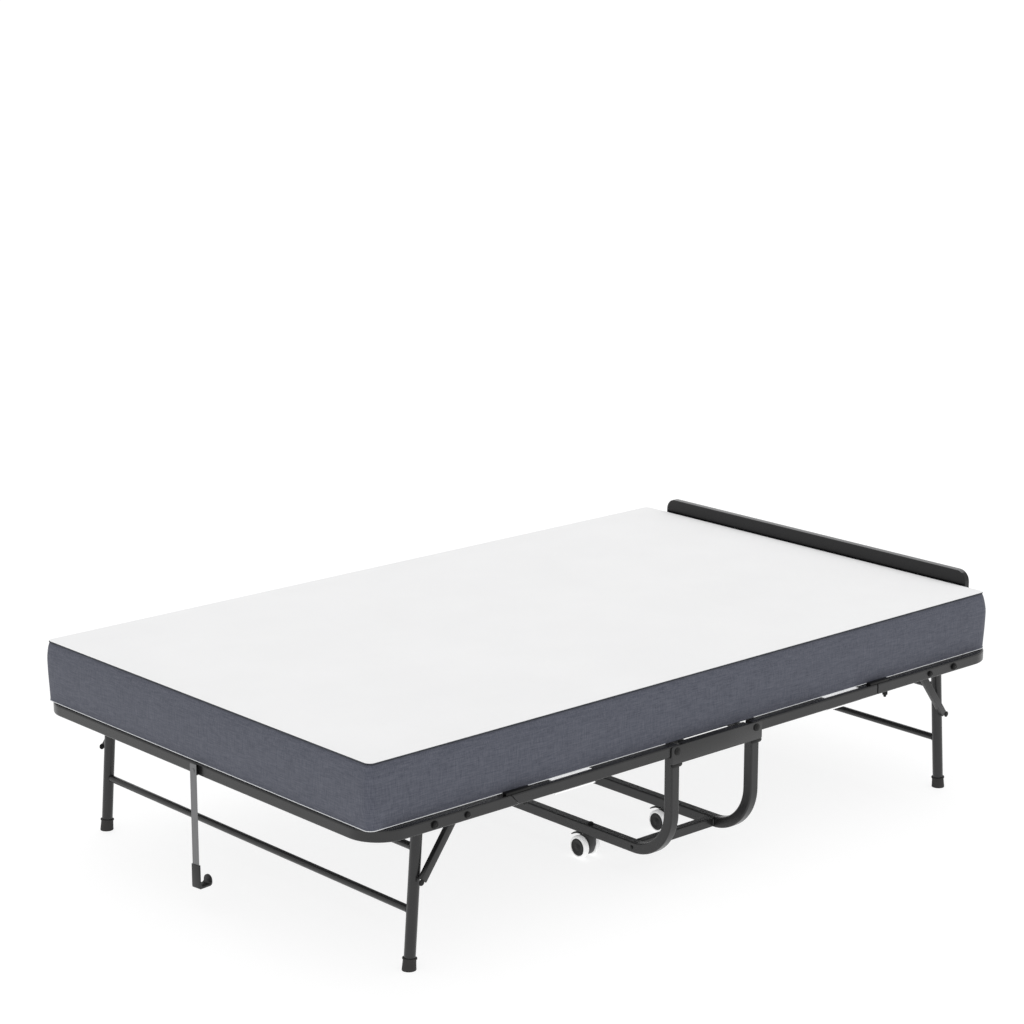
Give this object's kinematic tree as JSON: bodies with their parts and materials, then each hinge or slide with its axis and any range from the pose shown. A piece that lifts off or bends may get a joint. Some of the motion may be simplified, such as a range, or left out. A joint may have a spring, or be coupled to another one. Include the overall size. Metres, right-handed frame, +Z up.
{
  "type": "rollaway bed",
  "caption": "Folding bed on a wheeled centre trolley: slatted tubular halves with folding legs, thick mattress, low headboard and a latch strap at the foot end.",
  "frame": {"origin": "on the floor under the middle of the bed's overall box", "axes": "+X towards the head of the bed, +Y to the far side, +Z up"},
  "size_m": [1.966, 1.2274, 0.5155],
  "materials": {
    "frame_metal": "semi-gloss black powder coat",
    "bolt_metal": "black plated",
    "strap_metal": "satin grey",
    "sleeve_plastic": "smooth white",
    "foot_rubber": "matt black",
    "mattress_fabric": "knitted white top, grey sides",
    "board_frame": "satin black",
    "board_panel": "light grey",
    "hook_plastic": "black",
    "castor_plastic": "black",
    "wheel_plastic": "white tread, dark hub"
  },
  "bodies": {
    "base": {"center_rail_near": "frame_metal", "center_rail_far": "frame_metal", "center_deck": "frame_metal", "u_frame_foot": "frame_metal", "u_frame_head": "frame_metal", "base_bar_near": "frame_metal", "base_bar_far": "frame_metal", "mattress_mid_foot": "mattress_fabric", "mattress_mid_head": "mattress_fabric", "fold_bolt_foot_near": "bolt_metal", "fold_bolt_foot_far": "bolt_metal", "fold_bolt_head_near": "bolt_metal", "fold_bolt_head_far": "bolt_metal"},
    "foot_half": {"foot_end_tube": "frame_metal", "foot_rail_near": "frame_metal", "foot_rail_far": "frame_metal", "foot_end_deck": "frame_metal", "foot_mid_deck": "frame_metal", "foot_sleeve_near": "sleeve_plastic", "foot_sleeve_far": "sleeve_plastic", "mattress_foot": "mattress_fabric", "latch_rivet": "bolt_metal"},
    "foot_legs": {"foot_leg_frame": "frame_metal", "foot_rubber_near": "foot_rubber", "foot_rubber_far": "foot_rubber"},
    "foot_brace_near": {"foot_brace_near": "frame_metal"},
    "foot_brace_far": {"foot_brace_far": "frame_metal"},
    "head_half": {"head_end_tube": "frame_metal", "head_rail_near": "frame_metal", "head_rail_far": "frame_metal", "head_end_deck": "frame_metal", "head_mid_deck": "frame_metal", "head_sleeve_near": "sleeve_plastic", "head_sleeve_far": "sleeve_plastic", "mattress_head": "mattress_fabric", "headboard_frame": "board_frame", "headboard_panel": "board_panel"},
    "head_legs": {"head_leg_frame": "frame_metal", "head_rubber_near": "foot_rubber", "head_rubber_far": "foot_rubber"},
    "head_brace_near": {"head_brace_near": "frame_metal"},
    "head_brace_far": {"head_brace_far": "frame_metal"},
    "latch": {"latch_strap": "strap_metal", "latch_hook": "hook_plastic"},
    "castor_foot_near": {"castor_foot_near_fork": "castor_plastic"},
    "castor_foot_near_wheels": {"castor_foot_near_wheels": "wheel_plastic"},
    "castor_foot_near_lever": {"castor_foot_near_brake_lever": "castor_plastic"},
    "castor_foot_far": {"castor_foot_far_fork": "castor_plastic"},
    "castor_foot_far_wheels": {"castor_foot_far_wheels": "wheel_plastic"},
    "castor_foot_far_lever": {"castor_foot_far_brake_lever": "castor_plastic"},
    "castor_head_near": {"castor_head_near_fork": "castor_plastic"},
    "castor_head_near_wheels": {"castor_head_near_wheels": "wheel_plastic"},
    "castor_head_near_lever": {"castor_head_near_brake_lever": "castor_plastic"},
    "castor_head_far": {"castor_head_far_fork": "castor_plastic"},
    "castor_head_far_wheels": {"castor_head_far_wheels": "wheel_plastic"},
    "castor_head_far_lever": {"castor_head_far_brake_lever": "castor_plastic"}
  },
  "joints": [
    {"name": "foot_fold", "type": "hinge", "parent": "base", "child": "foot_half", "pos_m": [-0.1215, 0, 0.3235], "axis": [0, 1, 0], "range_deg": [0, 90], "deforming": ["mattress_foot", "mattress_mid_foot"]},
    {"name": "foot_legs_fold", "type": "hinge", "parent": "foot_half", "child": "foot_legs", "pos_m": [-0.8115, 0, 0.3235], "axis": [0, -1, 0], "range_deg": [0, 86.5]},
    {"name": "foot_brace_near_turn", "type": "hinge", "parent": "foot_half", "child": "foot_brace_near", "pos_m": [-0.724, 0, 0.3235], "axis": [0, -1, 0], "range_deg": [0, 103.8]},
    {"name": "foot_brace_far_turn", "type": "hinge", "parent": "foot_half", "child": "foot_brace_far", "pos_m": [-0.724, 0, 0.3235], "axis": [0, -1, 0], "range_deg": [0, 103.8]},
    {"name": "head_fold", "type": "hinge", "parent": "base", "child": "head_half", "pos_m": [0.1295, 0, 0.3235], "axis": [0, -1, 0], "range_deg": [0, 90], "deforming": ["mattress_head", "mattress_mid_head"]},
    {"name": "head_legs_fold", "type": "hinge", "parent": "head_half", "child": "head_legs", "pos_m": [0.8195, 0, 0.3235], "axis": [0, 1, 0], "range_deg": [0, 86.5]},
    {"name": "head_brace_near_turn", "type": "hinge", "parent": "head_half", "child": "head_brace_near", "pos_m": [0.732, 0, 0.3235], "axis": [0, 1, 0], "range_deg": [0, 103.8]},
    {"name": "head_brace_far_turn", "type": "hinge", "parent": "head_half", "child": "head_brace_far", "pos_m": [0.732, 0, 0.3235], "axis": [0, 1, 0], "range_deg": [0, 103.8]},
    {"name": "latch_swing", "type": "hinge", "parent": "foot_half", "child": "latch", "pos_m": [-0.9794, -0.0087, 0.3235], "axis": [0.9925, 0.1219, 0], "range_deg": [0, 180]},
    {"name": "castor_foot_near_swivel", "type": "hinge", "parent": "base", "child": "castor_foot_near", "pos_m": [-0.122, -0.338, 0], "axis": [0, 0, 1], "continuous": true},
    {"name": "castor_foot_near_roll", "type": "hinge", "parent": "castor_foot_near", "child": "castor_foot_near_wheels", "pos_m": [-0.122, -0.32, 0.0265], "axis": [1, 0, 0], "continuous": true},
    {"name": "castor_foot_near_brake", "type": "hinge", "parent": "castor_foot_near", "child": "castor_foot_near_lever", "pos_m": [-0.122, -0.315, 0.054], "axis": [-1, 0, 0], "range_deg": [0, 10]},
    {"name": "castor_foot_far_swivel", "type": "hinge", "parent": "base", "child": "castor_foot_far", "pos_m": [-0.122, 0.338, 0], "axis": [0, 0, 1], "continuous": true},
    {"name": "castor_foot_far_roll", "type": "hinge", "parent": "castor_foot_far", "child": "castor_foot_far_wheels", "pos_m": [-0.122, 0.356, 0.0265], "axis": [1, 0, 0], "continuous": true},
    {"name": "castor_foot_far_brake", "type": "hinge", "parent": "castor_foot_far", "child": "castor_foot_far_lever", "pos_m": [-0.122, 0.361, 0.054], "axis": [-1, 0, 0], "range_deg": [0, 10]},
    {"name": "castor_head_near_swivel", "type": "hinge", "parent": "base", "child": "castor_head_near", "pos_m": [0.13, -0.338, 0], "axis": [0, 0, 1], "continuous": true},
    {"name": "castor_head_near_roll", "type": "hinge", "parent": "castor_head_near", "child": "castor_head_near_wheels", "pos_m": [0.13, -0.32, 0.0265], "axis": [1, 0, 0], "continuous": true},
    {"name": "castor_head_near_brake", "type": "hinge", "parent": "castor_head_near", "child": "castor_head_near_lever", "pos_m": [0.13, -0.315, 0.054], "axis": [-1, 0, 0], "range_deg": [0, 10]},
    {"name": "castor_head_far_swivel", "type": "hinge", "parent": "base", "child": "castor_head_far", "pos_m": [0.13, 0.338, 0], "axis": [0, 0, 1], "continuous": true},
    {"name": "castor_head_far_roll", "type": "hinge", "parent": "castor_head_far", "child": "castor_head_far_wheels", "pos_m": [0.13, 0.356, 0.0265], "axis": [1, 0, 0], "continuous": true},
    {"name": "castor_head_far_brake", "type": "hinge", "parent": "castor_head_far", "child": "castor_head_far_lever", "pos_m": [0.13, 0.361, 0.054], "axis": [-1, 0, 0], "range_deg": [0, 10]}
  ],
  "couplings": [
    {"joint": "foot_brace_near_turn", "follows": "foot_legs_fold", "ratio": 1.2},
    {"joint": "foot_brace_far_turn", "follows": "foot_legs_fold", "ratio": 1.2},
    {"joint": "head_brace_near_turn", "follows": "head_legs_fold", "ratio": 1.2},
    {"joint": "head_brace_far_turn", "follows": "head_legs_fold", "ratio": 1.2}
  ]
}
